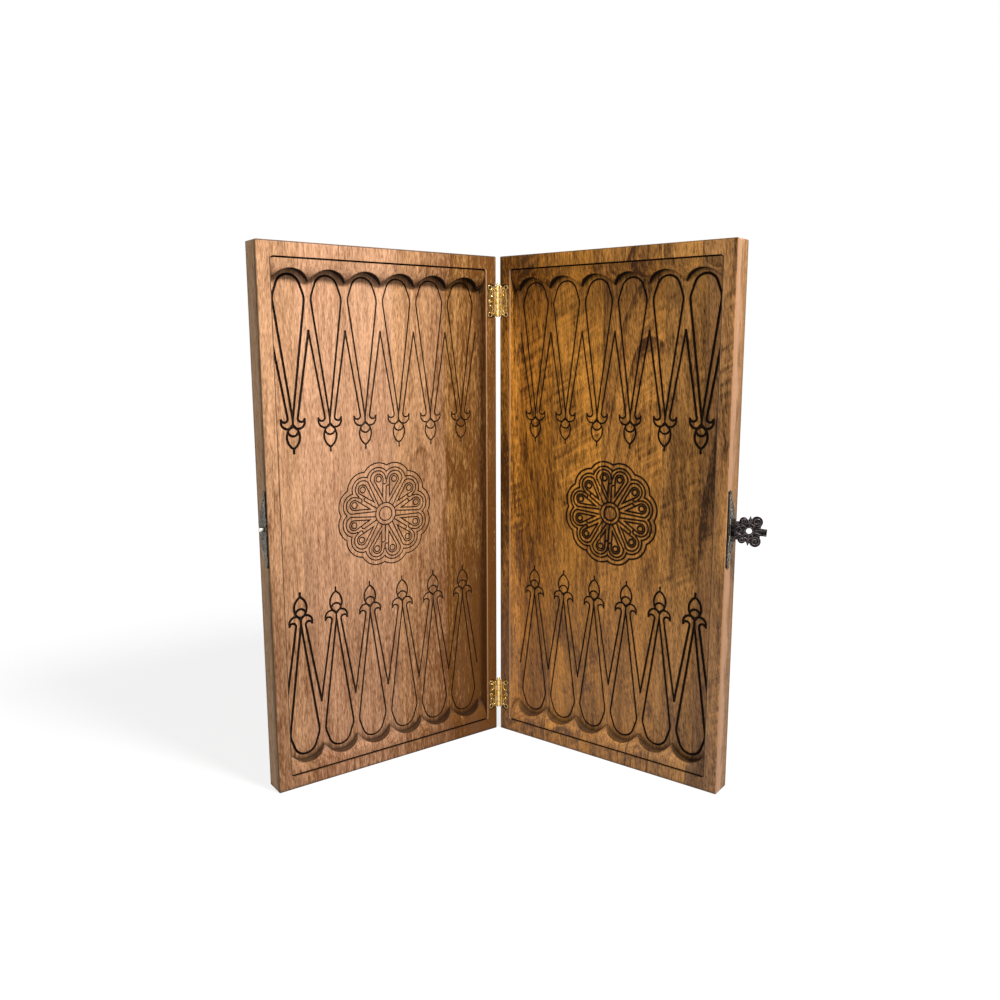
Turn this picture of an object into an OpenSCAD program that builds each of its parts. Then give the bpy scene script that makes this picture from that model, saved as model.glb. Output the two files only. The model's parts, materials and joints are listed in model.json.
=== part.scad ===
// Folding backgammon board, carved from edge-glued walnut staves.
// It stands open on its short ends. Each half is modelled flat, with
// x out from the hinge axis, y from the rim face into the wood, z up.

/* [Board] */
// Height of a half, along the grain
half_h = 500; // [440:1:560]
// Width of a half
half_w = 250; // [220:1:280]
// Thickness of a half
half_t = 23; // [20:0.5:30]
// Width of the raised rim
rim_w = 13; // [10:0.5:18]
// Depth of the playing field below the rim
field_depth = 12.5; // [9:0.5:15]
// Rounding of the outer edges
edge_r = 1.8; // [0.5:0.1:2.5]
// Rounding of the rim's inner corners
rim_corner_r = 3; // [1:0.5:6]
// Cove between the long rims and the field
cove_r = 5; // [2:0.5:7]
// Angle of each half from the plane that parts them
half_angle = 53.5; // [20:0.5:88]
// Stave widths of the left half from the hinge, which share out the half's width in this proportion
left_staves = [55, 58, 60, 38.5, 38.5]; // [28:0.5:65]
// Stave widths of the right half from the hinge, which share out the half's width in this proportion
right_staves = [57, 57, 65, 39.5, 31.5]; // [28:0.5:65]

/* [Arcade] */
// Points along each short end of a half
point_count = 6; // [4:1:8]
// Field left clear between the hinge-side rim and the row of points
row_start = 4.9; // [2:0.1:10]
// Field left clear between the row of points and the outer rim
row_end = 1.8; // [1:0.1:10]
// Crease between the rim and the rolled ledge
crease_w = 1.25; // [1:0.25:3]
// Depth of that crease below the rim
crease_depth = 3.4; // [2:0.2:6]
// Drop of the ledge's crest below the rim
ledge_drop = 1.4; // [0.6:0.2:3]
// Run of the ledge from its crest down to the field
ledge_run = 20; // [16:0.5:24]
// Distance from the board's end to the top of a scallop
scallop_apex = 22; // [19:0.5:26]
// Rise of a scallop's arc
scallop_rise = 11; // [8:0.5:13]

/* [Carved lines] */
// Depth of the carved lines
line_depth = 1.2; // [0.6:0.1:2]
// Width of the finest point line, next to the hinge
fine_line_w = 1.3; // [0.8:0.1:2]
// Width of the boldest point line, next to the outer rim
bold_line_w = 2.3; // [1.4:0.1:3]
// Distance from the board's end to the head of a point
point_start = 26.6; // [24:0.2:32]
// Distance from the board's end to where the sides of a point meet
point_meet = 154.6; // [130:0.2:165]
// Clear wood between the heads of two points
head_gap = 6.7; // [4:0.1:10]
// Distance from the board's end to the fork between two points
fork_start = 75.6; // [60:0.2:90]

/* [Medallion] */
// Petals in the rosette
petal_count = 12; // [8:2:16]
// Distance from the rosette's centre to the middle of a petal's head
petal_reach = 35.2; // [32:0.2:40]
// Radius of a petal's head
petal_r = 8.3; // [6:0.1:9]
// Distance from the middle of a petal's head to its straight side
petal_side = 7.45; // [5:0.05:8.2]
// Lean of that side from the petal's middle line
petal_taper = 17.3; // [15:0.1:20]
// Radius of the eye in a petal's head
eye_r = 4.8; // [3.6:0.1:5.4]
// Radius of the ring in the eye
eye_ring_r = 2.85; // [1.5:0.05:3.2]
// Shift of the eye towards the jogged spoke beside it
eye_shift = 0.7; // [0:0.1:1.5]
// Lean of the eye's sides from its middle line
eye_taper = 16; // [14:0.5:20]
// Distance from the rosette's centre to the tops of the inner border
inner_border_reach = 46.65; // [45:0.05:48]
// Radius of the lobes of the inner border
inner_border_r = 12.15; // [11:0.05:14]
// Distance from the rosette's centre to the tops of the outer border
outer_border_reach = 51.15; // [49:0.05:56]
// Radius of the lobes of the outer border
outer_border_r = 17.65; // [15:0.05:20]
// Radius of the hub's outer ring
hub_r = 10.9; // [9:0.1:12]
// Radius of the hub's inner ring
hub_inner_r = 6.85; // [5:0.05:7.8]
// Distance from the rosette's centre to the jog in every second spoke
jog_reach = 28.7; // [24:0.1:31]
// Step of the jog's two lines, out and in from there
jog_step = 0.7; // [0.5:0.1:1.5]
// Radius of the jog's bends
jog_r = 1.5; // [0.8:0.1:2]
// Width of the rosette's lines
rosette_line_w = 1.1; // [0.8:0.1:1.6]
// Turn of the rosette, clockwise as seen
rosette_turn = 2.7; // [0:0.1:15]

/* [Hinges] */
// Distance from the hinge axis to the wood
hinge_gap = 1.8; // [1.5:0.1:5]
// Height of the axis above the rim face
axis_proud = 0.2; // [0.15:0.05:1]
// Distance from the top end to the upper hinge's middle
upper_hinge_drop = 44; // [30:1:80]
// Distance from the bottom end to the lower hinge's middle
lower_hinge_rise = 40; // [30:1:80]
// Length of the barrel
barrel_len = 30.5; // [24:0.5:40]
// Knuckles in the barrel
knuckle_count = 5; // [3:2:7]
// Radius of a knuckle
knuckle_r = 2.3; // [1.9:0.1:2.4]
// Radius of the hinge pin
pin_r = 1; // [0.8:0.05:1.2]
// Radius of the pin's ball head
pin_ball_r = 1.6; // [1.4:0.1:2]
// Thickness of a leaf
leaf_t = 1; // [0.8:0.1:1.2]
// Depth of a leaf's face below the rim
leaf_sink = 0.6; // [0.6:0.1:1]
// Reach of a leaf over the wood to its nails
leaf_reach = 7.4; // [5:0.2:8]
// Radius of a leaf's corner lobes
leaf_lobe_r = 2.9; // [2.2:0.1:3.4]

/* [Clasp] */
// Length of the two end plates
plate_len = 70; // [50:1:90]
// Width of the end plates at the middle
plate_w = 15; // [12:0.5:17]
// Thickness of the end plates
plate_t = 1.6; // [1.2:0.1:2]
// Depth of the recess that holds a plate
plate_recess = 0.8; // [0.5:0.1:1]
// Distance from the rim face to a plate's straight edge
plate_setback = 1.9; // [1.8:0.1:5]
// Gap left in the recess along the straight edge
recess_gap = 1.1; // [0.5:0.1:1.2]
// Distance from the plate's middle to its nails
plate_nail_reach = 27; // [18:0.5:32]
// Height of the clasp's axis above the end face
clasp_axis_out = 3.3; // [3.2:0.1:5]
// Distance from the rim face to the clasp's axis
clasp_axis_depth = 6; // [5.5:0.1:8]
// Distance from the rim face to the catch stud
stud_depth = 7.2; // [7:0.1:11]
// Radius of the catch stud
stud_r = 2; // [1.5:0.1:2.3]
// Radius of the hole in the flap
flap_hole_r = 2.6; // [2.6:0.1:3.2]
// Height of the clasp's barrel
clasp_barrel_len = 20; // [14:0.5:24]
// Radius of the clasp's barrel
clasp_knuckle_r = 2; // [1.6:0.1:2.1]
// Radius of the clasp's pin
clasp_pin_r = 0.8; // [0.6:0.05:0.9]
// Thickness of the flap
flap_t = 1.4; // [1:0.1:1.8]
// Distance from the clasp's axis to the end of the flap's lobes
flap_len = 24.5; // [23:0.5:32]
// Length of the finger tab past the lobes
tab_len = 4.2; // [2:0.2:8]
// Height of the finger tab
tab_h = 6.4; // [5:0.2:8]
// Tilt of the flap's outline about its hole, as it hangs on a loose barrel
flap_tilt = 4; // [0:0.5:6]
// Opening of the flap from its closed place
flap_open = 110; // [0:1:175]

/* [Fasteners] */
// Radius of a nail's shank
nail_r = 0.7; // [0.5:0.05:0.9]
// Radius of a nail's head
nail_head_r = 1.4; // [1.1:0.1:1.8]
// Height of a nail's head
nail_head_h = 0.5; // [0.3:0.1:0.5]
// Length of a nail's shank
nail_len = 9; // [5:0.5:10]
// Radial clearance of pins, nails and rivets in their holes
fit_gap = 0.05; // [0.02:0.01:0.1]
// Gap between knuckles, and between a knuckle and the other leaf
knuckle_gap = 0.3; // [0.2:0.05:0.5]

/* [Hidden] */
$fn = 64;

LEFT = -1;
RIGHT = 1;
// Cutters reach this far past the faces that they cut
past = 1;
walnut = "#8a5a36";
walnut_dark = "#74471f";
brass = "#d6a545";
bronze = "#4a423b";
steel = "#8f8a80";

// Rows of points and their scallops
row_pitch = (half_w - 2 * rim_w - row_start - row_end) / point_count;
first_point = rim_w + row_start + row_pitch / 2;
scallop_r = (row_pitch * row_pitch / 4 + scallop_rise * scallop_rise) / (2 * scallop_rise);
ledge_rise = field_depth - ledge_drop;
ledge_r = (ledge_run * ledge_run + ledge_rise * ledge_rise) / (2 * ledge_rise);
ledge_start = rim_w + crease_w;
head_r = (row_pitch - head_gap) / 2;
// The head of a point is an egg: a smaller circle at its end, the full one further on
egg_end_share = 0.77;
egg_step_share = 0.69;
head_end_r = head_r * egg_end_share;
egg_step = head_r * egg_step_share;
arc_chord = 1.5;
stop_share = 0.56;

// Rosette spokes and the catch's reach
spoke_angle = 360 / petal_count;
rosette_u = half_w / 2;
rosette_z = half_h / 2;
knuckle_len = (barrel_len - (knuckle_count - 1) * knuckle_gap) / knuckle_count;
clasp_knuckle_len = (clasp_barrel_len - 2 * knuckle_gap) / 4;
clasp_z = half_h / 2;
end_face = hinge_gap + half_w;
stud_reach = clasp_axis_depth + stud_depth + 2 * axis_proud;
plate_r = (plate_len * plate_len / 4 + plate_w * plate_w) / (2 * plate_w);
plate_end_r = 2.6;
plate_face = end_face - plate_recess + plate_t;
plate_nail_depth = plate_setback + plate_end_r;
stud_height = clasp_axis_out + flap_t;
stud_crown = 0.8;
stud_crown_share = 0.6;
rivet_r = 1.2;
rivet_len = 6;
nail_top_share = 0.7;

// Leaves: the room round them in the wood, the places of their nails, their ends' slope
leaf_room = 0.8;
leaf_nail_z = barrel_len / 2 - 1.9;
leaf_end_slope = 0.6;
leaf_point_share = 0.8;
leaf_edge_share = 0.55;
leaf_inner_x = 0.4 * knuckle_r;
pin_foot = 0.4;

// Place of a point of the right half in the standing pose, from the hinge axis
function stand_x(x, y) = x * sin(half_angle) + (y + axis_proud) * cos(half_angle);
function stand_y(x, y) = (y + axis_proud) * sin(half_angle) - x * cos(half_angle);

// The origin is under the middle of the board's box, flap included
tab_reach = stud_reach + (flap_len + tab_len - stud_reach) * cos(flap_tilt) + tab_h / 2 * sin(flap_tilt);
tab_x = end_face + clasp_axis_out + tab_reach * sin(flap_open);
tab_y = clasp_axis_depth - tab_reach * cos(flap_open);
back_x = stand_x(end_face - edge_r, half_t - edge_r) + edge_r;
back_y = stand_y(hinge_gap + edge_r, half_t - edge_r) + edge_r;
front_y = stand_y(end_face - edge_r, edge_r) - edge_r;
flap_lean = half_angle + flap_open - 90;
high_x = max(back_x, stand_x(tab_x, tab_y) + flap_t / 2 * abs(cos(flap_lean)));
low_y = min(front_y, stand_y(tab_x, tab_y) - flap_t / 2 * abs(sin(flap_lean)));
axis_x = (back_x - high_x) / 2;
axis_y = -(back_y + low_y) / 2;

function sum_to(list, count) = count == 0 ? 0 : list[count - 1] + sum_to(list, count - 1);
function stave_list(side) = side == LEFT ? left_staves : right_staves;
function stave_to(side, i) =
  let (list = stave_list(side)) half_w * sum_to(list, i) / sum_to(list, len(list));
function line_w(i) = fine_line_w + (bold_line_w - fine_line_w) * pow(i / (point_count - 1), 2);

// Frames

module on_half(side) {
  translate([axis_x, axis_y, 0])
    mirror([side == LEFT ? 1 : 0, 0, 0])
      rotate([0, 0, half_angle - 90])
        translate([0, axis_proud, 0])
          children();
}

// A flat outline on the rim face, sunk from y = from to y = to
module sunk(from, to) {
  translate([0, to, 0]) rotate([90, 0, 0]) linear_extrude(to - from) children();
}

// A flat outline in y and z, raised from x = from to x = to
module raised(from, to) {
  translate([from, 0, 0]) rotate([90, 0, 90]) linear_extrude(to - from) children();
}

// A profile in z and y, run along x
module run_along(from, to) {
  translate([to, 0, 0]) rotate([0, -90, 0]) linear_extrude(to - from) children();
}

module at_both_ends() {
  children();
  translate([0, 0, half_h]) mirror([0, 0, 1]) children();
}

module rounded(size, r) {
  translate([r, 0]) square([size.x - 2 * r, size.y]);
  translate([0, r]) square([size.x, size.y - 2 * r]);
  for (x = [r, size.x - r], y = [r, size.y - r]) translate([x, y]) circle(r);
}

// Carved lines, drawn flat

module stroke(from, to, w) {
  along = (to - from) / norm(to - from);
  side = [-along.y, along.x] * w / 2;
  polygon([from + side, from - side, to - side, to + side]);
}

module arc_stroke(centre, r, from, to, w) {
  far = 2 * (r + w);
  fan = [for (k = [0:4]) from + (to - from) * k / 4];
  translate(centre) intersection() {
    difference() {
      circle(r + w / 2);
      circle(r - w / 2);
    }
    polygon([[0, 0], for (angle = fan) far * [cos(angle), sin(angle)]]);
  }
}

// Points along an arc, close enough together for it to look round
function arc_points(centre, r, from, to) =
  let (steps = ceil(abs(to - from) * PI / 180 * r / arc_chord), step = (to - from) / steps)
    [for (k = [0:steps]) centre + r * [cos(from + k * step), sin(from + k * step)]];

// Lean of the straight flank that touches two circles on the y axis
function flank_lean(y1, r1, y2, r2) = asin((r1 - r2) / (y2 - y1));

// The cutter's round stop at the end of a line, a little wider than the line
module line_stop(at, w) {
  translate(at) circle(stop_share * w);
}

// A teardrop: an egg head of two circles, and flanks that meet at a point
module teardrop(y1, r1, y2, r2, y_tip) {
  head_lean = flank_lean(y1, r1, y2, r2);
  right_side = concat(
    arc_points([0, y1], r1, -90, head_lean),
    arc_points([0, y2], r2, head_lean, flank_lean(y2, r2, y_tip, 0))
  );
  left_side = [for (k = [len(right_side) - 1:-1:1]) [-right_side[k].x, right_side[k].y]];
  polygon(concat(right_side, [[0, y_tip]], left_side));
}

module teardrop_line(y1, r1, y2, r2, y_tip, w) {
  half_point = asin(r2 / (y_tip - y2));
  tip_shift = w / 2 / sin(half_point);
  difference() {
    teardrop(y1, r1 + w / 2, y2, r2 + w / 2, y_tip + tip_shift);
    teardrop(y1, r1 - w / 2, y2, r2 - w / 2, y_tip - tip_shift);
  }
}

// The fleuron past the sides of a point: two hooks, a pearl, a bud and its spike
module fleuron(w) {
  hook = [5.2, point_meet + 1.9];
  hook_r = 6.2;
  curl = [8.15, point_meet - 1.3];
  curl_r = 3.35;
  pearl_y = point_meet + 9.6;
  pearl_r = 5.1;
  pearl_side = [5.05, pearl_y + 0.4];
  pearl_foot = [0, point_meet + 4.2];
  bud = [-6.1, point_meet + 15.6];
  bud_r = 12.3;
  bud_tip = point_meet + 26.3;
  spike_end = point_meet + 30;
  for (m = [0, 1]) mirror([m, 0]) {
    arc_stroke(hook, hook_r, -25, 148, w);
    arc_stroke(curl, curl_r, 0, 185, w);
    stroke(pearl_foot, pearl_side, w);
    arc_stroke(bud, bud_r, -27, 61, w);
  }
  arc_stroke([0, pearl_y], pearl_r, 2, 178, w);
  stroke([0, point_meet - w], pearl_foot + [0, w / 2], w);
  stroke([0, bud_tip - w / 2], [0, spike_end], w);
  line_stop([0, spike_end], w);
}

// One carved point with the fork lines on both sides of it
module point_lines(w) {
  fork_end = [4.8, point_meet - 1.4];
  teardrop_line(point_start + head_end_r, head_end_r, point_start + head_end_r + egg_step,
    head_r, point_meet, w);
  for (m = [0, 1]) mirror([m, 0]) {
    stroke([row_pitch / 2, fork_start], fork_end, w);
    line_stop([row_pitch / 2, fork_start], w);
  }
  fleuron(w);
}

// The rosette, drawn as seen from the front
module rosette_lines(w) {
  half = spoke_angle / 2;
  eye_gap = petal_reach * sin(half) - eye_shift * cos(half) - eye_r;
  module ring(r) {
    difference() {
      circle(r + w / 2);
      circle(r - w / 2);
    }
  }
  module lobes(middle, r) {
    circle(middle);
    for (k = [0:petal_count - 1])
      rotate((k + 0.5) * spoke_angle) translate([0, middle]) circle(r);
  }
  module border_line(reach, r) {
    difference() {
      lobes(reach - r, r + w / 2);
      lobes(reach - r, r - w / 2);
    }
  }
  // A petal left of its jogged spoke: a round head, and a straight side on the left
  module petal(grow) {
    foot = petal_reach - (petal_side + grow) / sin(petal_taper);
    top = petal_reach + 2 * petal_r;
    far = 3 * petal_r;
    intersection() {
      polygon([[0, foot], [0, 0], [far, 0], [far, top], [(foot - top) * tan(petal_taper), top]]);
      union() {
        translate([0, petal_reach]) circle(petal_r + grow);
        translate([-far, 0]) square([far, petal_reach]);
        square([far, petal_reach - petal_r * sin(half)]);
      }
    }
  }
  module eye(grow) {
    r = eye_r + grow;
    sides = arc_points([0, 0], r, -180 - eye_taper, eye_taper);
    translate([eye_shift, petal_reach]) mirror([0, 1]) polygon(concat(sides, [[0, r / sin(eye_taper)]]));
  }
  // The outer line of a jogged spoke turns left to one eye, the inner line right to the other
  module jog() {
    outer_y = jog_reach + jog_step;
    inner_y = jog_reach - jog_step;
    stroke([0, petal_reach], [0, outer_y + jog_r], w);
    arc_stroke([-jog_r, outer_y + jog_r], jog_r, -90, 0, w);
    stroke([-jog_r, outer_y], [-eye_gap, outer_y], w);
    stroke([0, hub_r], [0, inner_y - jog_r], w);
    arc_stroke([jog_r, inner_y - jog_r], jog_r, 90, 180, w);
    stroke([jog_r, inner_y], [eye_gap, inner_y], w);
  }
  border_line(inner_border_reach, inner_border_r);
  border_line(outer_border_reach, outer_border_r);
  for (k = [0:2:petal_count - 1]) rotate(k * spoke_angle) {
    jog();
    for (m = [0, 1]) mirror([m, 0]) rotate(half) {
      difference() {
        petal(w / 2);
        petal(-w / 2);
        circle(hub_r);
      }
      difference() {
        eye(w / 2);
        eye(-w / 2);
      }
      translate([eye_shift, petal_reach]) ring(eye_ring_r);
    }
  }
  ring(hub_r);
  ring(hub_inner_r);
}

// Wooden halves

module end_ledge(from, to) {
  difference() {
    run_along(from, to) {
      translate([rim_w - past, crease_depth]) square([crease_w + past, field_depth + past - crease_depth]);
      intersection() {
        translate([ledge_start, 0]) square([ledge_run, field_depth + past]);
        translate([ledge_start, ledge_drop + ledge_r]) circle(ledge_r);
      }
    }
    for (i = [0:point_count - 1])
      let (u = first_point + i * row_pitch)
        if (u + scallop_r > from && u - scallop_r < to)
          sunk(-past, field_depth + 2 * past)
            translate([u, scallop_apex + scallop_r]) circle(scallop_r);
  }
}

module field_hollow(from, to) {
  difference() {
    sunk(-past, field_depth)
      translate([rim_w, rim_w]) rounded([half_w - 2 * rim_w, half_h - 2 * rim_w], rim_corner_r);
    at_both_ends() end_ledge(from - past, to + past);
    for (m = [0, 1])
      translate([m * half_w, 0, 0]) mirror([m, 0, 0])
        linear_extrude(half_h) difference() {
          translate([rim_w - past, field_depth - cove_r]) square([cove_r + past, cove_r + past]);
          translate([rim_w + cove_r, field_depth - cove_r]) circle(cove_r);
        }
  }
}

module carving(side, from, to) {
  reach = outer_border_reach + rosette_line_w;
  sunk(field_depth - past, field_depth + line_depth) {
    for (i = [0:point_count - 1])
      let (u = first_point + i * row_pitch)
        if (u + row_pitch / 2 + bold_line_w > from && u - row_pitch / 2 - bold_line_w < to) {
          translate([u, 0]) point_lines(line_w(i));
          translate([u, half_h]) mirror([0, 1]) point_lines(line_w(i));
        }
    if (rosette_u + reach > from && rosette_u - reach < to)
      translate([rosette_u, rosette_z]) mirror([side == LEFT ? 1 : 0, 0]) rotate(-rosette_turn)
        rosette_lines(rosette_line_w);
  }
}

// What the hardware needs cut from the wood, in the axis frame
module hardware_cuts(side, i) {
  if (i == 1) for (z = hinge_heights()) translate([0, 0, z]) {
    sunk(-past, leaf_sink + leaf_t) leaf_outline(leaf_room);
    translate([0, -axis_proud, -barrel_len / 2 - leaf_room])
      cylinder(r = knuckle_r + leaf_room, h = barrel_len + 2 * leaf_room);
    leaf_nail_holes();
  }
  if (i == len(stave_list(side))) translate([0, 0, clasp_z]) {
    raised(end_face - plate_recess, end_face + past) {
      plate_outline();
      translate([-recess_gap, 0]) plate_outline();
    }
    plate_nail_holes();
    if (side == LEFT) stud_hole();
  }
}

module stave(side, i) {
  from = stave_to(side, i - 1);
  to = stave_to(side, i);
  color(side == LEFT ? walnut : walnut_dark)
    on_half(side) difference() {
      translate([hinge_gap, 0, 0]) difference() {
        intersection() {
          translate([from, 0, 0]) cube([to - from, half_t, half_h]);
          linear_extrude(half_h) rounded([half_w, half_t], edge_r);
          run_along(0, half_w) rounded([half_h, half_t], edge_r);
          sunk(0, half_t) rounded([half_w, half_h], edge_r);
        }
        field_hollow(from, to);
        carving(side, from, to);
      }
      hardware_cuts(side, i);
    }
}

// Hinges, in the axis frame with z from the hinge's middle

function hinge_heights() = [lower_hinge_rise, half_h - upper_hinge_drop];

module leaf_outline(room) {
  nail_x = hinge_gap + leaf_reach;
  top = barrel_len / 2 + room;
  inner_top = top - leaf_end_slope;
  edge_x = nail_x + leaf_edge_share * leaf_lobe_r + room;
  polygon([
    [leaf_inner_x, -inner_top], [nail_x, -top], [edge_x, -leaf_nail_z],
    [edge_x, leaf_nail_z], [nail_x, top], [leaf_inner_x, inner_top]
  ]);
  for (z = [-leaf_nail_z, leaf_nail_z]) translate([nail_x, z]) circle(leaf_lobe_r + room);
  translate([nail_x, 0]) circle(leaf_point_share * leaf_lobe_r + room);
}

module leaf_nail_holes() {
  for (z = [-leaf_nail_z, leaf_nail_z]) translate([hinge_gap + leaf_reach, -past, z])
    rotate([-90, 0, 0]) cylinder(r = nail_r + fit_gap, h = leaf_sink + nail_len + past + fit_gap);
}

module knuckles(first, r, longer) {
  for (k = [first:2:knuckle_count - 1])
    translate([0, -axis_proud, k * (knuckle_len + knuckle_gap) - barrel_len / 2 - longer])
      cylinder(r = r, h = knuckle_len + 2 * longer);
}

module hinge_leaf(side, z) {
  own = side == LEFT ? 0 : 1;
  color(brass) on_half(side) translate([0, 0, z]) difference() {
    union() {
      difference() {
        sunk(leaf_sink, leaf_sink + leaf_t) leaf_outline(0);
        knuckles(1 - own, knuckle_r + knuckle_gap, knuckle_gap);
      }
      knuckles(own, knuckle_r, 0);
    }
    translate([0, -axis_proud, -barrel_len]) cylinder(r = pin_r + fit_gap, h = 2 * barrel_len);
    leaf_nail_holes();
  }
}

module hinge_pin(z) {
  ball_rise = sqrt(pin_ball_r * pin_ball_r - pin_r * pin_r);
  color(brass) translate([axis_x, axis_y, z]) {
    translate([0, 0, -barrel_len / 2 - pin_foot])
      cylinder(r = pin_r, h = barrel_len + pin_foot + ball_rise);
    translate([0, 0, barrel_len / 2 + ball_rise + fit_gap]) sphere(pin_ball_r);
  }
}

// A nail along y, its head's underside at y = 0
module nail() {
  rotate([-90, 0, 0]) cylinder(r = nail_r, h = nail_len);
  rotate([90, 0, 0]) cylinder(r1 = nail_head_r, r2 = nail_top_share * nail_head_r, h = nail_head_h);
}

module leaf_nails(side, z) {
  color(steel) on_half(side)
    for (dz = [-leaf_nail_z, leaf_nail_z])
      translate([hinge_gap + leaf_reach, leaf_sink, z + dz]) nail();
}

// Clasp, in the axis frame with z from the clasp's middle

module plate_outline() {
  intersection() {
    translate([plate_setback + plate_w - plate_r, 0]) circle(plate_r);
    translate([plate_setback, -plate_len]) square([plate_len, 2 * plate_len]);
  }
  for (z = [-1, 1]) translate([plate_setback + plate_end_r, z * (plate_len / 2 - plate_end_r)])
    circle(plate_end_r);
  translate([plate_setback, plate_end_r - plate_len / 2])
    square([plate_end_r, plate_len - 2 * plate_end_r]);
}

module plate_nail_holes() {
  for (z = [-plate_nail_reach, plate_nail_reach])
    translate([plate_face - nail_len - fit_gap, plate_nail_depth, z]) rotate([0, 90, 0])
      cylinder(r = nail_r + fit_gap, h = nail_len + past + fit_gap);
}

module plate_nails(side) {
  color(steel) on_half(side)
    for (z = [-plate_nail_reach, plate_nail_reach])
      translate([plate_face, plate_nail_depth, clasp_z + z]) rotate([0, 0, 90]) nail();
}

module stud_hole() {
  translate([plate_face - rivet_len - fit_gap, stud_depth, 0]) rotate([0, 90, 0])
    cylinder(r = rivet_r + fit_gap, h = rivet_len + past + fit_gap);
}

module clasp_barrel_bore() {
  translate([end_face + clasp_axis_out, clasp_axis_depth, -clasp_barrel_len])
    cylinder(r = clasp_pin_r + fit_gap, h = 2 * clasp_barrel_len);
}

module clasp_base_plate() {
  color(bronze) on_half(RIGHT) translate([0, 0, clasp_z]) difference() {
    union() {
      raised(end_face - plate_recess, plate_face) plate_outline();
      for (m = [0, 1]) mirror([0, 0, m])
        translate([0, clasp_axis_depth, clasp_barrel_len / 2 - clasp_knuckle_len]) {
          translate([end_face + clasp_axis_out, 0, 0]) cylinder(r = clasp_knuckle_r, h = clasp_knuckle_len);
          translate([end_face, -clasp_knuckle_r, 0])
            cube([clasp_axis_out, 2 * clasp_knuckle_r, clasp_knuckle_len]);
        }
    }
    clasp_barrel_bore();
    plate_nail_holes();
  }
}

module strike_plate() {
  color(bronze) on_half(LEFT) translate([0, 0, clasp_z]) difference() {
    raised(end_face - plate_recess, plate_face) plate_outline();
    plate_nail_holes();
    stud_hole();
  }
}

module strike_stud() {
  color(bronze) on_half(LEFT) translate([plate_face, stud_depth, clasp_z]) rotate([0, 90, 0]) {
    translate([0, 0, -rivet_len]) cylinder(r = rivet_r, h = rivet_len + past);
    cylinder(r = stud_r, h = stud_height - stud_crown);
    translate([0, 0, stud_height - stud_crown])
      cylinder(r1 = stud_r, r2 = stud_crown_share * stud_r, h = stud_crown);
  }
}

// The flap's scalloped outline, x out from the clasp's axis
module flap_outline() {
  neck_h = clasp_barrel_len / 2 - 1.8;
  disc_r = neck_h + 1.4;
  inner_lobe = [-5.4, neck_h];
  inner_lobe_r = 3.6;
  outer_lobe_y = neck_h + 0.5;
  outer_lobe_r = 5;
  spur_w = 2.2;
  waist_dip = 1.3;
  waist_h = neck_h - 2;
  beyond = flap_len - stud_reach;
  translate([0, -neck_h]) square([stud_reach, 2 * neck_h]);
  translate([stud_reach, 0]) rotate(-flap_tilt) {
    circle(disc_r);
    translate([0, -waist_h]) square([beyond - waist_dip, 2 * waist_h]);
    for (m = [0, 1]) mirror([0, m]) {
      translate(inner_lobe) circle(inner_lobe_r);
      translate([beyond - outer_lobe_r, outer_lobe_y]) circle(outer_lobe_r);
      polygon([[-spur_w, neck_h], [0, outer_lobe_y + outer_lobe_r], [spur_w, neck_h]]);
    }
    translate([beyond - tab_h / 2, 0]) circle(tab_h / 2);
    translate([0, -tab_h / 2]) square([beyond + tab_len, tab_h]);
  }
}

module clasp_flap() {
  middle_len = clasp_barrel_len - 2 * clasp_knuckle_len - 2 * knuckle_gap;
  room = clasp_knuckle_r + knuckle_gap;
  color(bronze) on_half(RIGHT)
    translate([end_face + clasp_axis_out, clasp_axis_depth, clasp_z]) rotate([0, 0, flap_open])
      difference() {
        union() {
          difference() {
            translate([flap_t / 2, 0, 0]) rotate([90, 0, -90]) linear_extrude(flap_t) difference() {
              flap_outline();
              translate([stud_reach, 0]) circle(flap_hole_r);
            }
            for (m = [0, 1]) mirror([0, 0, m])
              translate([0, 0, middle_len / 2]) cylinder(r = room, h = clasp_barrel_len);
          }
          translate([0, 0, -middle_len / 2]) cylinder(r = clasp_knuckle_r, h = middle_len);
        }
        translate([0, 0, -clasp_barrel_len]) cylinder(r = clasp_pin_r + fit_gap, h = 2 * clasp_barrel_len);
      }
}

module clasp_pin() {
  color(bronze) on_half(RIGHT)
    translate([end_face + clasp_axis_out, clasp_axis_depth, clasp_z - clasp_barrel_len / 2])
      cylinder(r = clasp_pin_r, h = clasp_barrel_len);
}

// Nodes

for (i = [1:len(left_staves)])
  stave(LEFT, i);
for (i = [1:len(right_staves)])
  stave(RIGHT, i);
for (h = [["lower_hinge", hinge_heights()[0]], ["upper_hinge", hinge_heights()[1]]]) {
  hinge_leaf(LEFT, h[1]);
  hinge_leaf(RIGHT, h[1]);
  hinge_pin(h[1]);
  leaf_nails(LEFT, h[1]);
  leaf_nails(RIGHT, h[1]);
}
clasp_base_plate();
plate_nails(RIGHT);  // clasp_base_nails
clasp_flap();
clasp_pin();
strike_plate();
plate_nails(LEFT);  // strike_nails
strike_stud();
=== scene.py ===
# Folding backgammon board of carved walnut, standing open on its short ends
from functools import partial
import json
import math
from types import SimpleNamespace

import bpy
from mathutils import Matrix, Vector

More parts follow.
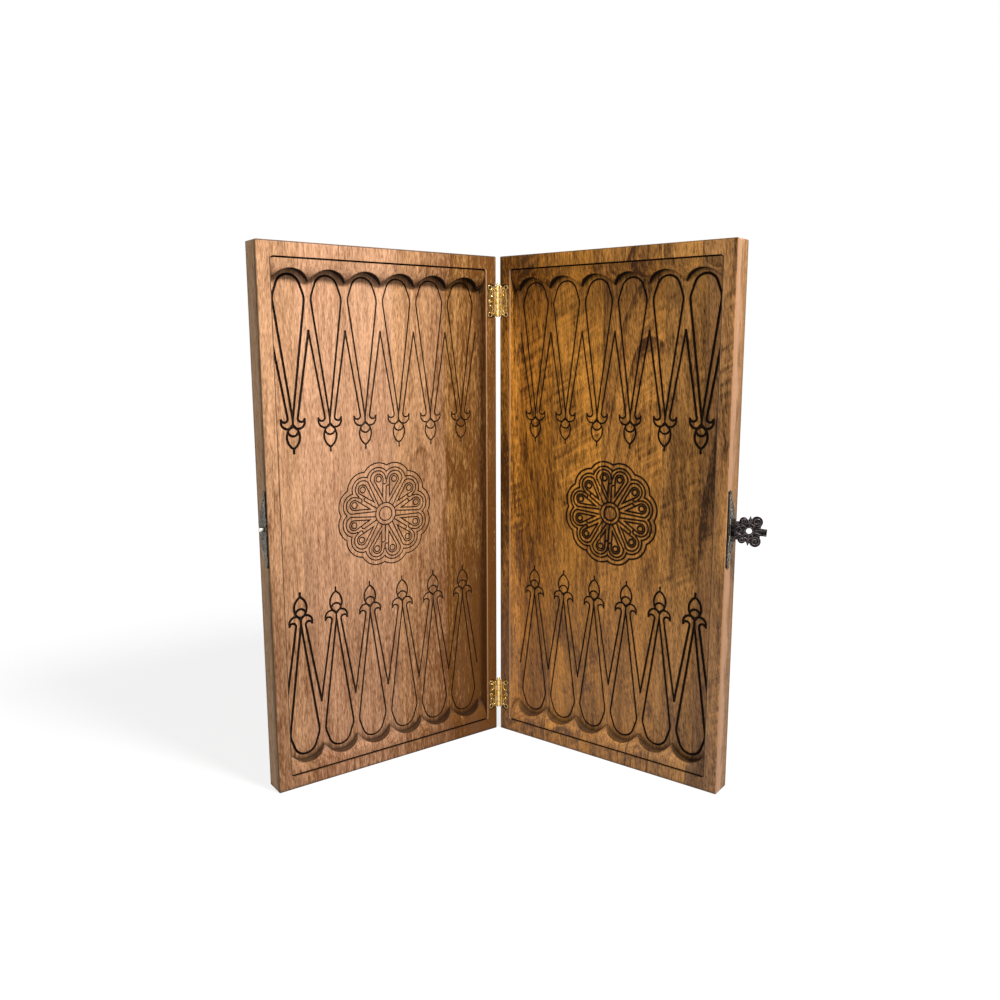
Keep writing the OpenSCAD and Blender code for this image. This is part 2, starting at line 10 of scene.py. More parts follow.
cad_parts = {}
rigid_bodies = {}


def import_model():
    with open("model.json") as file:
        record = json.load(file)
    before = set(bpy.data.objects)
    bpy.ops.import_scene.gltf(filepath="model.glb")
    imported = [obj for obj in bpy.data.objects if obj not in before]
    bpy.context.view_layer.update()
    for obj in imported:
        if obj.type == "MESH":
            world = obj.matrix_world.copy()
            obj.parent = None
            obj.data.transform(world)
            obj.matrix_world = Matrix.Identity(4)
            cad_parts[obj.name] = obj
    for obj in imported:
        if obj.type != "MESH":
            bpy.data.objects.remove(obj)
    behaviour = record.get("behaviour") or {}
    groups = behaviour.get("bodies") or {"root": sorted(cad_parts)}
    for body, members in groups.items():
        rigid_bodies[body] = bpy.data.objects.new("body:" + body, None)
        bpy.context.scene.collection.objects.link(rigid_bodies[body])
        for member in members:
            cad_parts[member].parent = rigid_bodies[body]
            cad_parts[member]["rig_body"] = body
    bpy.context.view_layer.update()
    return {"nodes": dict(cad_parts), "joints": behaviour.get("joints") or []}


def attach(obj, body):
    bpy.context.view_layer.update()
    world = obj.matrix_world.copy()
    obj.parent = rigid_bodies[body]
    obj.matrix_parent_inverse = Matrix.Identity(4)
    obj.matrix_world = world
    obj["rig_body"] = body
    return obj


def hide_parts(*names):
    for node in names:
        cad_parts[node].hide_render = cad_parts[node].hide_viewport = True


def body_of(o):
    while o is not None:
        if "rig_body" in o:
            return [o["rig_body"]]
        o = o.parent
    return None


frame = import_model()

# Walnut staves
# Each half is a tray carved from one panel of five edge-glued walnut staves, with the grain upright.
# The field, ledges and lines are cut by a router, whose heat leaves the narrow lines nearly black.
# The solids have all of this carving, so they are shown as they are, in oiled walnut.
MM = 0.001
LEFT, RIGHT = -1, 1
HALF_ANGLE = math.radians(53.5)
HALF_W = 250
HALF_H = 500
RIM_W = 13
FIELD_DEPTH = 12.5
LEDGE_REACH = 38
HINGE_GAP = 1.8
AXIS_PROUD = 0.2
RING_W = 7
RING_BEND = 13
fold = next(joint for joint in frame["joints"] if joint["name"] == "board_fold")
HINGE_AXIS = (fold["pos_m"][0], fold["pos_m"][1], 0)

# Settings that many of the materials' nodes share
SOFT = {"interpolation_type": "SMOOTHSTEP"}
BLEND = {"data_type": "RGBA", "out": 2}
MINUS = {"operation": "SUBTRACT"}
TIMES = {"operation": "MULTIPLY"}
TIMES_ADD = {"operation": "MULTIPLY_ADD"}
MOST = {"operation": "MAXIMUM"}
SIZE = {"operation": "ABSOLUTE"}


def linear(hex_colour):
    """An sRGB hex colour as linear red, green, blue and alpha."""
    parts = [int(hex_colour[k:k + 2], 16) / 255 for k in (1, 3, 5)]
    return [c / 12.92 if c <= 0.04045 else ((c + 0.055) / 1.055) ** 2.4 for c in parts] + [1]


def add_node(tree, kind, *values, named=None, out=0, **settings):
    """Adds a node, sets or links its inputs in order and by name, and gives the output asked for."""
    made = tree.nodes.new("ShaderNode" + kind)
    for name, value in settings.items():
        setattr(made, name, value)
    for key, value in [*enumerate(values), *(named or {}).items()]:
        if isinstance(value, bpy.types.NodeSocket):
            tree.links.new(value, made.inputs[key])
        else:
            made.inputs[key].default_value = value
    return made if out is None else made.outputs[out]


def new_material(name):
    """An empty material and its node tree."""
    material = bpy.data.materials.new(name)
    material.use_nodes = True
    material.node_tree.nodes.clear()
    return material, material.node_tree


def stave_points(node, side, seams, seed):
    """Where a point of a stave lies in its half, in mm, and how its surface faces there."""
    place = node("TexCoord", out=None)
    turn = (0, 0, side * (HALF_ANGLE - math.pi / 2))
    local = node("Mapping", place.outputs["Object"], HINGE_AXIS, turn, (MM, MM, MM), vector_type="TEXTURE")
    parts = node("SeparateXYZ", local, out=None)
    at = SimpleNamespace(normal=place.outputs["Normal"], up=parts.outputs[2])
    # Each stave is cut from another place in the grain
    at.own = node("VectorMath", local, [seed * step for step in (37.3, 11.9, 71.7)], operation="ADD")
    # Out from the hinge edge, into the wood from the rims' face, and from the nearer end and glue line
    at.out = node("Math", node("Math", parts.outputs[0], **SIZE), HINGE_GAP, **MINUS)
    at.depth = node("Math", parts.outputs[1], AXIS_PROUD, **MINUS)
    at.end_near = node("Math", at.up, HALF_H / 2, operation="PINGPONG")
    gaps = [node("Math", node("Math", at.out, seam, **MINUS), **SIZE) for seam in seams]
    at.seam_gap = node("Math", *gaps, operation="MINIMUM")
    # The carved side has a share of 1, and it faces front, where a wall's share is 0 and the back's -1
    at.carved = node("MapRange", at.depth, FIELD_DEPTH + 5.5, FIELD_DEPTH + 3.5, **SOFT)
    face_way = (-side * math.cos(HALF_ANGLE), -math.sin(HALF_ANGLE), 0)
    at.front = node("VectorMath", at.normal, face_way, out="Value", operation="DOT_PRODUCT")
    return at


def grain_noise(node, at, width, length, detail, lean=0, swirl=0):
    """Noise in cells so many mm wide across the grain and long along it, leaning in the face."""
    turned = node("Mapping", at.own, (0, 0, 0), (0, lean, 0), (1, 1, 1))
    cells = node("VectorMath", turned, (1 / width, 1 / width, 1 / length), **TIMES)
    return node("TexNoise", named={"Vector": cells, "Scale": 1, "Detail": detail, "Distortion": swirl})


def walnut_figure(node, at, wood):
    """A stave's figure: its tone from light to dark, its fibres, its pores and its smoky streaks."""
    grain = partial(grain_noise, node, at)
    leaning = partial(grain_noise, node, at, lean=wood["lean"])

    # Growth rings about a pith that leans out of the stave, so that they arch across its face
    pith_out, pith_depth, pith_lean, phase = wood["pith"]
    bend = node("Math", grain(60, 120, 2), 2 * RING_BEND, -RING_BEND, **TIMES_ADD)
    ring_out = node("Math", node("Math", at.out, pith_out, **MINUS), bend, operation="ADD")
    ring_depth = node("Math", at.up, pith_lean, pith_depth, **TIMES_ADD)
    ring_depth = node("Math", ring_depth, at.depth, operation="ADD")
    ring_at = node("CombineXYZ", ring_out, ring_depth, 0)
    from_pith = node("VectorMath", ring_at, out="Value", operation="LENGTH")
    rings = node("Math", from_pith, RING_W, operation="DIVIDE")
    ring = node("Math", rings, operation="FRACT")
    # A ring darkens to its late wood and ends at once, and only some years have late wood that shows
    year = node("Math", node("Math", rings, operation="FLOOR"), 0.9, phase, **TIMES_ADD)
    shows = node("Math", node("Math", year, operation="SINE"), 0, **MOST)
    late = node("MapRange", ring, wood["late_from"], 0.97, **SOFT)
    for share in (node("MapRange", ring, 1.0, 0.96, **SOFT), shows):
        late = node("Math", late, share, **TIMES)

    # Blotches, fibres from 4 mm wide to fine ones, flecks, streaks, and curl that shimmers in a few patches
    blotch = node("MapRange", grain(34, 110, 2, swirl=0.5), 0.3, 0.7, -0.5, 0.5)
    fibre = node("MapRange", grain(4, 60, 5, swirl=0.2), 0.3, 0.7, -0.5, 0.5)
    fleck = node("MapRange", leaning(1.1, 6, 3), 0.3, 0.7, -0.5, 0.5)
    streak = node("MapRange", leaning(2.2, 22, 2, swirl=0.3), 0.3, 0.7, -0.5, 0.5)
    curl = node("MapRange", grain(42, 5.5, 2, lean=0.5, swirl=0.4), 0.35, 0.65, -0.5, 0.5)
    patch = node("MapRange", grain(55, 90, 1), 0.5, 0.64, 0, wood["curl"], **SOFT)
    # Pores, drawn some three times as wide as real ones so that they show, and streaks of smoky heartwood
    pores = node("MapRange", leaning(0.8, 5, 1), 0.55, 0.66, **SOFT)
    smoke = node("MapRange", grain(16, 190, 2, swirl=0.4), 0.52, 0.72, 0, wood["smoke"], **SOFT)

    # Painted shade deepens the tone by the hinge, where the halves shade each other, and at the foot, where
    # less light reaches; the tone also deepens where hands have held the rims
    hinge_shade = node("MapRange", at.out, wood["hinge_shade_to"], 0, 0, wood["hinge_shade"], **SOFT)
    foot = node("MapRange", at.up, 270, 90, 0, wood["foot"], **SOFT)
    handled = node("MapRange", at.depth, 4, 1, wood["tone"], wood["tone"] + 0.1, **SOFT)
    tone = node("Math", node("Math", hinge_shade, foot, operation="ADD"), handled, operation="ADD")
    patterns = (
        (blotch, wood["blotch"]), (fibre, wood["fibre"]), (fleck, wood["fleck"]), (streak, wood["streak"]),
        (curl, patch),
    )
    for pattern, strength in patterns:
        tone = node("Math", pattern, strength, tone, **TIMES_ADD)
    tone = node("Math", late, wood["rings"], tone, use_clamp=True, **TIMES_ADD)
    return tone, fibre, pores, smoke


def wear_and_painted_light(node, at, wood):
    """Layers over the figure, each a share and a colour: painted shade in the hollows, oil in the end grain
    and top edge, glue lines, a painted highlight and painted shade along the rims, end faces.
    """
    # Painted shade darkens the hollows, as deep as ambient occlusion finds them
    open_sky = node("AmbientOcclusion", named={"Distance": 7 * MM}, out="AO", samples=8)
    hollow_shade = node("MapRange", open_sky, 0.9, 0.3, 0, 0.8, **SOFT)

    # End grain soaks up more oil, and the panel's top edge is dark with it
    end_way = node("Math", node("SeparateXYZ", at.normal, out=2), **SIZE)
    end_grain = node("MapRange", end_way, 0.4, 0.85, 0, 0.6, **SOFT)
    top_edge = node("MapRange", at.up, HALF_H - 1.7, HALF_H - 0.9, 0, 0.75, **SOFT)
    soaked = node("Math", end_grain, top_edge, **MOST)

    # Glue lines show in the rims and on the back
    seam = node("MapRange", at.seam_gap, 0.5, 0.1, 0, 0.6, **SOFT)
    on_rim = node("MapRange", at.depth, 4, 1, **SOFT)
    on_back = node("MapRange", at.depth, FIELD_DEPTH + 5.5, FIELD_DEPTH + 7.5)
    seam = node("Math", seam, node("Math", on_rim, on_back, **MOST), **TIMES)

    # Painted highlight on the inner edges of the long rims, where their rounding would catch the light, and
    # painted shade in a dark line along the outer one, where the rim shades the field behind it
    along_rim = node("MapRange", at.end_near, RIM_W, RIM_W + 2, **SOFT)
    along_rim = node("Math", along_rim, at.carved, **TIMES)
    side_near = node("Math", at.out, HALF_W / 2, operation="PINGPONG")
    painted_rim_highlight = node("Math", node("Math", side_near, RIM_W, **MINUS), **SIZE)
    painted_rim_highlight = node("MapRange", painted_rim_highlight, 1.5, 0.6, 0, 0.4, **SOFT)
    for share in (node("MapRange", at.depth, 1.6, 0.4, **SOFT), along_rim):
        painted_rim_highlight = node("Math", painted_rim_highlight, share, **TIMES)
    outer_rim_shade = node("Math", node("Math", at.out, HALF_W - RIM_W + 0.1, **MINUS), **SIZE)
    outer_rim_shade = node("MapRange", outer_rim_shade, 0.9, 0.5, 0, 0.85, **SOFT)
    outer_rim_shade = node("Math", outer_rim_shade, along_rim, **TIMES)

    # The end face has a tone of its own, and a ragged strip of another along its front edge: a dark band on
    # the left half, and on the right half a painted highlight where the front arris catches the light
    end_face = node("MapRange", at.out, HALF_W - 1.2, HALF_W - 0.4, 0, 0.55, **SOFT)
    ragged = node("Math", grain_noise(node, at, 5, 30, 3), 22, wood["strip_to"], **TIMES_ADD)
    ragged = node("Math", ragged, at.depth, **MINUS)
    strip = node("Math", end_face, node("MapRange", ragged, -3, 3, 0, 1.1, **SOFT), **TIMES)
    return (
        (hollow_shade, "#1d1007"), (soaked, "#33200f"), (seam, "#3d3024"), (painted_rim_highlight, wood["rim_highlight"]),
        (outer_rim_shade, "#241309"), (end_face, wood["end"]), (strip, wood["strip"]),
    )


def router_burns_and_shade(node, at, wood):
    """How black the router's heat has left the wood, with painted shade on the lines' edges and about the
    scallops, from 0 to 1.
    """
    past_hinge_rim = node("MapRange", at.out, RIM_W - 0.1, RIM_W + 0.4, **SOFT)
    before_outer_rim = node("MapRange", at.out, HALF_W - RIM_W + 0.1, HALF_W - RIM_W - 0.4, **SOFT)
    within_rims = node("Math", past_hinge_rim, before_outer_rim, **TIMES)
    in_field = node("MapRange", at.end_near, RIM_W, RIM_W + 1, **SOFT)
    in_field = node("Math", in_field, within_rims, **TIMES)
    upper = node("MapRange", at.up, HALF_H / 2 - 1, HALF_H / 2 + 1)

    # The bottoms of the lines, fainter towards the hinge
    in_line = node("MapRange", at.depth, FIELD_DEPTH + 0.1, FIELD_DEPTH + 0.7, **SOFT)
    heat = node("MapRange", at.out, 30, 215, wood["burn"], 0.97, **SOFT)
    for share in (at.carved, in_field, heat):
        in_line = node("Math", in_line, share, **TIMES)

    # Painted shade on the lines' edges, where little wood lies behind the face, most about the rosette and
    # not at glue lines
    solid_near = node("AmbientOcclusion", named={"Distance": 1.2 * MM}, out="AO", samples=8, inside=True)
    off_seam = node("MapRange", at.seam_gap, 0.9, 1.6)
    on_field = node("MapRange", at.depth, FIELD_DEPTH - 0.4, FIELD_DEPTH - 0.2, **SOFT)
    line_edge_shade = node("MapRange", at.end_near, 190, 200, 0.35 * wood["line_edge_shade"], wood["line_edge_shade"], **SOFT)
    line_edge = node("MapRange", solid_near, 0.93, 0.65, 0, line_edge_shade, **SOFT)
    for share in (off_seam, on_field, in_field):
        line_edge = node("Math", line_edge, share, **TIMES)

    # The crease between the end rims and the ledges
    in_crease = node("MapRange", at.end_near, RIM_W + 1.5, RIM_W + 1.1, 0, 0.96, **SOFT)
    past_end_rim = node("MapRange", at.end_near, RIM_W - 0.4, RIM_W, **SOFT)
    below_rim = node("MapRange", at.depth, 1.2, 2.2, **SOFT)
    for share in (past_end_rim, below_rim, within_rims, at.carved):
        in_crease = node("Math", in_crease, share, **TIMES)

    # Painted shade on the scallops' walls, the roll of the ledges and their sharp edges, darker at the upper
    # end, where the light from above misses them
    painted_wall_shade = node("MapRange", upper, 0, 1, 0.55, 0.95)
    painted_roll_shade = node("MapRange", upper, 0, 1, 0.25, 0.85)
    ledge_edge_shade = node("MapRange", upper, 0, 1, 0.4, 0.9)
    in_wall = node("MapRange", at.front, 0.5, 0.2, 0, painted_wall_shade, **SOFT)
    on_roll = node("MapRange", at.front, 0.88, 0.45, 0, painted_roll_shade, **SOFT)
    ledge_edge = node("MapRange", solid_near, 0.95, 0.7, 0, ledge_edge_shade, **SOFT)
    for share in (node("MapRange", at.depth, FIELD_DEPTH - 2, FIELD_DEPTH - 3), off_seam):
        ledge_edge = node("Math", ledge_edge, share, **TIMES)
    scallop_shade = node("Math", node("Math", in_wall, on_roll, **MOST), ledge_edge, **MOST)
    by_end = node("MapRange", at.end_near, LEDGE_REACH, LEDGE_REACH - 4, **SOFT)
    below_crest = node("MapRange", at.depth, 1.5, 4.5, **SOFT)
    for share in (in_field, by_end, below_crest, at.carved):
        scallop_shade = node("Math", scallop_shade, share, **TIMES)

    burns_and_shade = in_line
    for mark in (line_edge, in_crease, scallop_shade):
        burns_and_shade = node("Math", burns_and_shade, mark, **MOST)
    return burns_and_shade


def walnut(name, side, seams, wood):
    """Oiled walnut in one stave: satin, with its figure, glue lines, oil in its end grain, end faces, the
    router's burns, and painted shade and highlights.
    """
    material, tree = new_material(name)
    node = partial(add_node, tree)
    at = stave_points(node, side, seams, wood["seed"])
    tone, fibre, pores, smoke = walnut_figure(node, at, wood)
    burns_and_shade = router_burns_and_shade(node, at, wood)
    grey_foot = node("MapRange", at.up, 270, 60, 0, wood["grey"], **SOFT)
    dark_pores = node("Math", pores, wood["pores"], **TIMES)
    layers = (
        (grey_foot, "#a8866e"), (smoke, wood["shade"]), (dark_pores, "#2a170b"),
        # The last layer is the router's burns, with painted shade on the lines' edges and about the scallops
        *wear_and_painted_light(node, at, wood), (burns_and_shade, "#0d0705"),
    )
    colour = node("Mix", tone, named={6: linear(wood["light"]), 7: linear(wood["dark"])}, **BLEND)
    for share, over in layers:
        colour = node("Mix", share, named={6: colour, 7: linear(over)}, **BLEND)

    # Fibres and open pores give the satin a fine relief, and the pores, the burns and the painted shade by
    # the lines and scallops are dull
    height = node("Math", pores, -0.6, node("Math", fibre, -0.4, **TIMES), **TIMES_ADD)
    edges = node("Bevel", 0.5 * MM, samples=4)
    bump = node("Bump", named={"Strength": 0.3, "Distance": 0.3 * MM, "Height": height, "Normal": edges})
    rough = node("MapRange", node("Math", pores, burns_and_shade, **MOST), 0, 1, 0.42, 0.9)
    shader = node("BsdfPrincipled", named={
        "Base Color": colour, "Roughness": rough, "Normal": bump, "IOR": 1.5, "Specular IOR Level": 0.14,
    })
    node("OutputMaterial", shader, out=None)
    return material


# The left half is pale and even, and the right half dark and curly, with more heat in its lines; the right
# half's dark golden tone is partly its own and partly painted shade, as it is turned from the key lamp and
# lit mostly by warm light from the left half
LEFT_WOOD = {
    # Mean tone, the strength of each pattern in it, and the flecks' lean in radians
    "tone": 0.37, "blotch": 0.25, "fibre": 0.36, "fleck": 0.55, "streak": 0.3, "curl": 0.0,
    "smoke": 0.3, "pores": 0.3, "lean": 0.0,
    # Strength of the late wood's lines, and the share of a ring at which they begin
    "rings": 0.22, "late_from": 0.78,
    # Heat in the lines by the hinge, and painted shade at the lines' edges
    "burn": 0.62, "line_edge_shade": 0.0,
    # Painted shade by the hinge and how far it reaches, painted shade at the foot, and the greyer tone of
    # the foot
    "hinge_shade": 0.6, "hinge_shade_to": 130, "foot": 0.27, "grey": 0.0,
    # Colours of the painted highlight on the rims' inner edges, the smoky streaks, the end face and its
    # strip (a painted highlight on the right half), and the strip's least depth
    "rim_highlight": "#e0b48c", "shade": "#7a563a", "end": "#9a7440", "strip": "#2b241c", "strip_to": -7,
}
RIGHT_WOOD = {
    "tone": 0.44, "blotch": 0.55, "fibre": 0.4, "fleck": 0.55, "streak": 0.4, "curl": 0.45,
    "smoke": 0.4, "pores": 0.45, "lean": 0.12,
    "rings": 0.5, "late_from": 0.6,
    "burn": 0.95, "line_edge_shade": 0.8,
    "hinge_shade": 0.27, "hinge_shade_to": 110, "foot": 0.0, "grey": 0.3,
    "rim_highlight": "#e6bd94", "shade": "#553818", "end": "#8c6236", "strip": "#cf9d7a", "strip_to": -1,
}

# Stave widths from the hinge outward, and each stave's tones and pith: out, behind the rim, lean, first year
STAVE_WIDTHS = {LEFT: (55, 58, 60, 38.5, 38.5), RIGHT: (57, 57, 65, 39.5, 31.5)}
STAVES = {
    LEFT: (
        {**LEFT_WOOD, "seed": 1, "light": "#dda564", "dark": "#683f17", "pith": (60, 12, 0.1, 1.5)},
        {**LEFT_WOOD, "seed": 2, "light": "#e4ae7e", "dark": "#754a28", "pith": (85, 9, 0.11, 1.1)},
        {**LEFT_WOOD, "seed": 3, "light": "#e8b28a", "dark": "#7c5232", "pith": (130, 70, 0.02, 0)},
        {**LEFT_WOOD, "seed": 4, "light": "#eab48c", "dark": "#825434", "pith": (200, 60, 0.02, 3)},
        {**LEFT_WOOD, "seed": 5, "light": "#e8b286", "dark": "#7e5230", "pith": (240, 50, 0.02, 2)},
    ),
    RIGHT: (
        {**RIGHT_WOOD, "seed": 6, "light": "#eea03c", "dark": "#57320c", "pith": (20, 50, 0.02, 3)},
        {**RIGHT_WOOD, "seed": 7, "light": "#eea444", "dark": "#54310e", "pith": (80, 60, 0.02, 1)},
        {**RIGHT_WOOD, "seed": 8, "light": "#eea64e", "dark": "#523012", "pith": (166, 0, 0.12, 0.65)},
        {**RIGHT_WOOD, "seed": 9, "light": "#eeaa58", "dark": "#5e3c1a", "pith": (200, 60, 0.02, 2)},
        {**RIGHT_WOOD, "seed": 10, "light": "#d69a5a", "dark": "#4a2e14", "pith": (235, 50, 0.02, 0)},
    ),
}
for side, half in ((LEFT, "left"), (RIGHT, "right")):
    reach = 0
    for number, (width, wood) in enumerate(zip(STAVE_WIDTHS[side], STAVES[side]), start=1):
        node_name = f"{half}_stave_{number}"
        oiled = walnut("oiled_walnut_" + node_name, side, (reach, reach + width), wood)
        reach += width
        stave = frame["nodes"][node_name]
        stave.data.materials.clear()
        stave.data.materials.append(oiled)

# Hinges
# Two cast brass butt hinges are let into the rims, with five knuckles on a pin that has a ball head.
# Their leaves have raised scrolls, rubbed bright, and two small steel nails hold each leaf.
HINGE_HEIGHTS = {"lower": 40, "upper": 456}
NAIL_X = 9.2
NAIL_Z = 13.35
LEAF_SINK = 0.6
LEAF_T = 1
NO_TOP = 9


def half_place(side):
    """From a half's own directions, out from the hinge axis, into the wood and up, to where it stands."""
    flip = Matrix.Diagonal((side, 1, 1, 1))
    turn = Matrix.Rotation(HALF_ANGLE - math.pi / 2, 4, "Z")
    return Matrix.Translation(HINGE_AXIS) @ flip @ turn @ Matrix.Translation((0, AXIS_PROUD * MM, 0))


def cast_metal(name, hollow, ridge, roughness, base, outward, low, high, top):
    """Cast metal with raised work: tarnished in the hollows, polished bright by use on the ridges.
    It brightens from low to high, in mm out from a plane through base, and is dark again past top.
    NO_TOP is farther out than such a piece reaches."""
    material, tree = new_material(name)
    node = partial(add_node, tree)
    place = node("TexCoord", out="Object")
    from_base = node("VectorMath", place, base, **MINUS)
    out = node("VectorMath", from_base, outward / MM, out="Value", operation="DOT_PRODUCT")
    out = node("Math", out, **SIZE)
    raised = node("MapRange", out, low, high, **SOFT)
    raised = node("Math", raised, node("MapRange", out, top + 0.3, top), **TIMES)
    # Tarnish in patches about 2 mm wide
    tarnish = node("TexNoise", named={"Vector": place, "Scale": 1 / (2 * MM), "Detail": 3})
    patchy = node("MapRange", tarnish, 0.3, 0.7, -0.25, 0.25)
    bright = node("Math", raised, patchy, operation="ADD", use_clamp=True)
    colour = node("Mix", bright, named={6: linear(hollow), 7: linear(ridge)}, **BLEND)
    rough = node("MapRange", bright, 0, 1, roughness + 0.2, roughness)
    bump = node("Bump", named={"Strength": 0.25, "Distance": 0.15 * MM, "Height": tarnish})
    shader = node("BsdfPrincipled", named={
        "Base Color": colour, "Metallic": 1, "Roughness": rough, "Normal": bump,
    })
    node("OutputMaterial", shader, out=None)
    return material


def eased(node_name, width, material):
    """A copy of a solid, its sharp edges eased by so many mm, that takes the solid's place."""
    solid = frame["nodes"][node_name]
    bpy.ops.object.select_all(action="DESELECT")
    piece = bpy.data.objects.new(node_name + "_finished", solid.data.copy())
    bpy.context.scene.collection.objects.link(piece)
    piece.select_set(True)
    bpy.context.view_layer.objects.active = piece
    bpy.ops.mesh.customdata_custom_splitnormals_clear()
    bpy.ops.object.mode_set(mode="EDIT")
    bpy.ops.mesh.select_all(action="SELECT")
    bpy.ops.mesh.remove_doubles(threshold=0.001 * MM)
    bpy.ops.mesh.dissolve_limited(angle_limit=math.radians(0.5))
    bpy.ops.object.mode_set(mode="OBJECT")
    bevel = piece.modifiers.new("eased_edges", "BEVEL")
    bevel.width = width * MM
    bevel.segments = 2
    bevel.limit_method = "ANGLE"
    bevel.angle_limit = math.radians(40)
    bpy.ops.object.modifier_apply(modifier=bevel.name)
    bpy.ops.object.shade_smooth_by_angle(angle=math.radians(35))
    piece.data.materials.clear()
    piece.data.materials.append(material)
    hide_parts(node_name)
    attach(piece, body_of(solid)[0])
    return piece


def scroll(centre, r, end_r, start, end):
    """Points along a scroll in mm and degrees, whose radius goes from r to end_r."""
    steps = max(5, round(abs(end - start) / 25))
    points = []
    for k in range(steps + 1):
        reach = r + (end_r - r) * k / steps
        turn = math.radians(start + (end - start) * k / steps)
        points.append((centre[0] + reach * math.cos(turn), centre[1] + reach * math.sin(turn)))
    return points


def raise_ribs(piece, lines, thick, face):
    """Adds raised ribs along lines drawn flat in mm, and along the same lines turned over, on a face."""
    ribs = []
    for points in lines + [[(x, -y) for x, y in line] for line in lines]:
        bpy.ops.object.select_all(action="DESELECT")
        bpy.ops.curve.primitive_nurbs_path_add()
        rib = bpy.context.object
        spline = rib.data.splines[0]
        spline.points.add(len(points) - len(spline.points))
        spline.use_endpoint_u = True
        for number, (spot, (x, y)) in enumerate(zip(spline.points, points)):
            spot.co = (x * MM, y * MM, 0, 1)
            spot.radius = 0.6 + 0.4 * math.sin(math.pi * number / (len(points) - 1))
        rib.data.resolution_u = 2
        rib.data.bevel_depth = thick * MM
        rib.data.bevel_resolution = 1
        rib.data.use_fill_caps = True
        bpy.ops.object.convert(target="MESH")
        ribs.append(rib)
    for rib in ribs:
        rib.select_set(True)
    bpy.context.view_layer.objects.active = ribs[0]
    bpy.ops.object.join()
    work = ribs[0]
    work.data.transform(face)
    bpy.ops.object.mode_set(mode="EDIT")
    bpy.ops.mesh.select_all(action="SELECT")
    bpy.ops.mesh.remove_doubles(threshold=0.001 * MM)
    bpy.ops.mesh.normals_make_consistent(inside=False)
    bpy.ops.object.mode_set(mode="OBJECT")
    bpy.ops.object.shade_smooth()
    work.data.materials.clear()
    work.data.materials.append(piece.data.materials[0])
    piece.select_set(True)
    bpy.context.view_layer.objects.active = piece
    bpy.ops.object.join()


# Ribs of a leaf's upper half, out from the hinge axis and up from the hinge's middle
LEAF_LINES = [
    scroll((NAIL_X, NAIL_Z), 2.15, 2.15, 0, 360),
    [(7.7, 11.7), (6.3, 10.4), (5.4, 8.4), (5.8, 6.2), (7.2, 4.7), (8.9, 4.1), (9.9, 4.9), (9.5, 6.0)],
    [(11.1, 0), (10.4, 0.8), (9.2, 2.3), (8.0, 0.9), (7.2, 0)],
    [(3.5, 0), (3.5, 4), (3.5, 8), (3.5, 11), (3.5, 13.6)],
    scroll((5.2, 12.6), 1.3, 0.5, 180, 520),
]
for side, half in ((LEFT, "left"), (RIGHT, "right")):
    place = half_place(side)
    outward = place.to_3x3() @ Vector((0, -1, 0))
    under_leaf = place @ Vector((0, (LEAF_SINK + LEAF_T) * MM, 0))
    brass = cast_metal(
        "polished_brass_" + half, "#5f4012", "#f6d287", 0.2, under_leaf, outward, 0.8, 1.3, NO_TOP,
    )
    steel = cast_metal(
        "hinge_nail_steel_" + half, "#14110e", "#3a342c", 0.45, under_leaf, outward, 1.0, 1.5, NO_TOP,
    )
    for name, height in HINGE_HEIGHTS.items():
        leaf = eased(f"{name}_hinge_{half}_leaf", 0.15, brass)
        face = Matrix(((1, 0, 0, 0), (0, 0, -1, LEAF_SINK * MM), (0, 1, 0, height * MM), (0, 0, 0, 1)))
        raise_ribs(leaf, LEAF_LINES, 0.4, place @ face)
        eased(f"{name}_hinge_{half}_nails", 0.2, steel)
for name in HINGE_HEIGHTS:
    eased(f"{name}_hinge_pin", 0.1, brass)

# Clasp
# A cast bronze flap turns on a barrel on the right end face and drops its hole over a stud on the left one.
# Its lens-shaped base and strike plates are let in and nailed, left grey, and the flap is blackened.
CLASP_Z = HALF_H / 2
END_FACE = HINGE_GAP + HALF_W
PLATE_PROUD = 0.8
PLATE_FACE = END_FACE + PLATE_PROUD
PLATE_T = 1.6
PLATE_R = 48.33
PLATE_REACH = 16.9
PLATE_MIDDLE = (PLATE_REACH - PLATE_R, 0)
BARREL_PROUD = 3.3
BARREL_DEPTH = 6
CLASP_AXIS = (END_FACE + BARREL_PROUD, BARREL_DEPTH, CLASP_Z)
FLAP_OPEN = math.radians(110)
FLAP_TILT = math.radians(-4)
FLAP_T = 1.4
HOLE_OUT = 13.6

